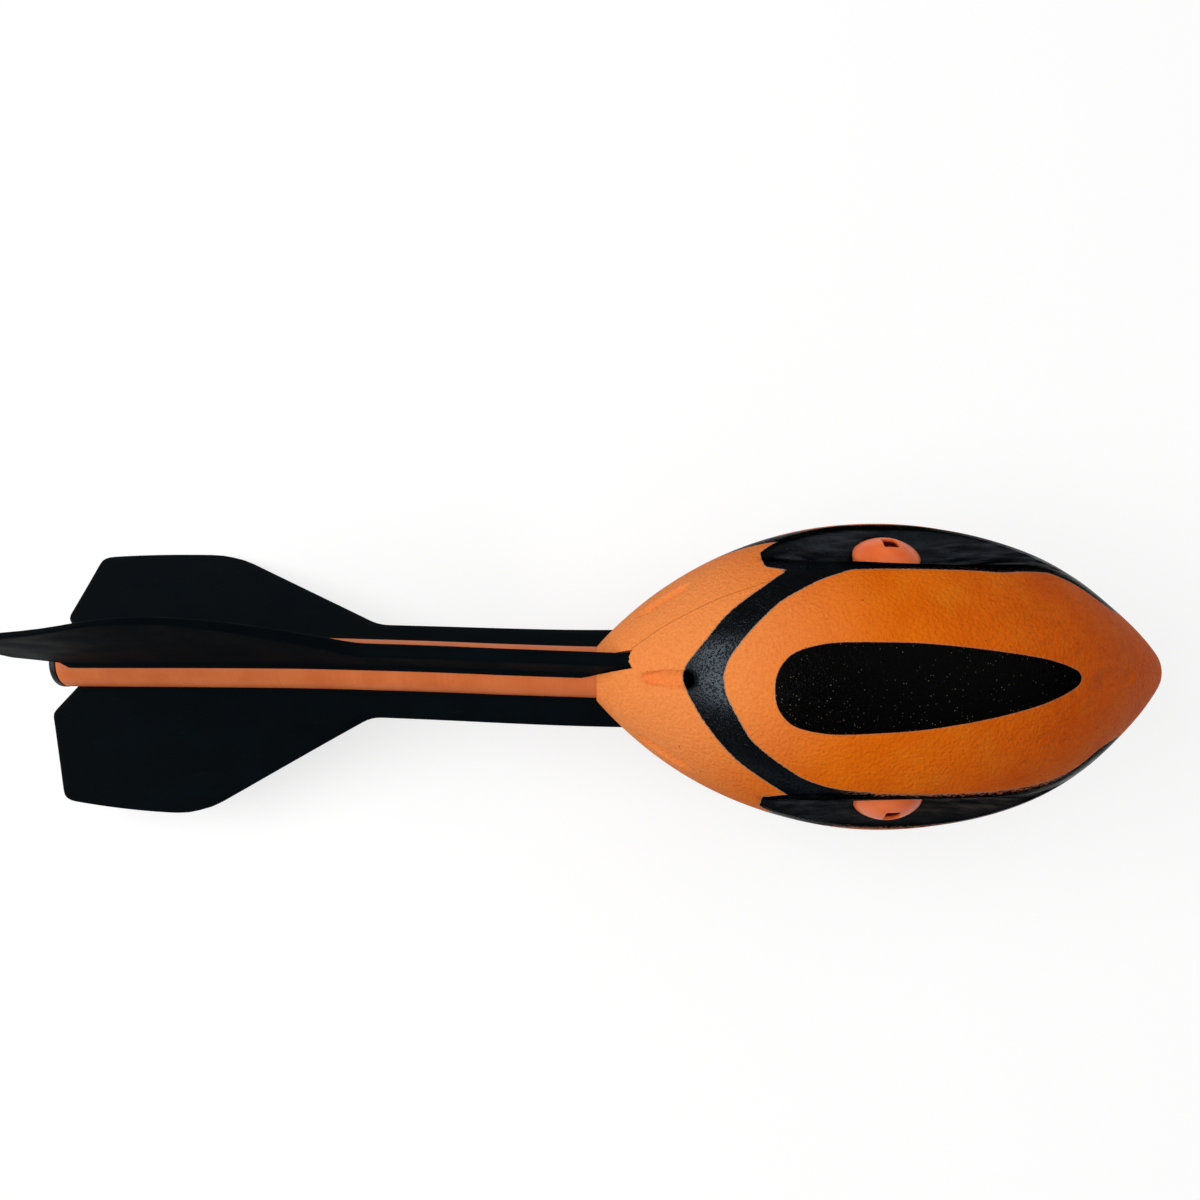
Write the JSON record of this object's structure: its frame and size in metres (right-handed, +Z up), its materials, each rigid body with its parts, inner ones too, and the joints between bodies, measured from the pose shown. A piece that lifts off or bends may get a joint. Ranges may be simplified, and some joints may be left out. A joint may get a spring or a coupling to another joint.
{
  "type": "vortex throwing toy",
  "caption": "Foam throwing toy: a spindle head with scooped air grooves and whistles, on a tube that carries tail fins.",
  "frame": {"origin": "on the floor that the toy rests on, under the middle of its box", "axes": "+Z up from the floor, +X along the toy towards the nose, which climbs about 3.6 degrees as it lies; +Y to the left, seen from the tail"},
  "size_m": [0.3318, 0.089, 0.0877],
  "materials": {
    "foam": "matte moulded foam with a fine pebbled skin and satin black paint",
    "tube": "satin extruded plastic",
    "plug": "matte",
    "fin": "matte soft moulded foam",
    "whistle": "satin"
  },
  "bodies": {
    "root": {"foam_head": "foam", "shaft_tube": "tube", "tail_cap": "plug", "front_stop": "plug", "fin_top": "fin", "fin_right": "fin", "fin_left": "fin", "whistle_cap_1": "whistle", "whistle_cup_1": "whistle", "whistle_cap_2": "whistle", "whistle_cup_2": "whistle", "whistle_cap_3": "whistle", "whistle_cup_3": "whistle"}
  },
  "joints": []
}
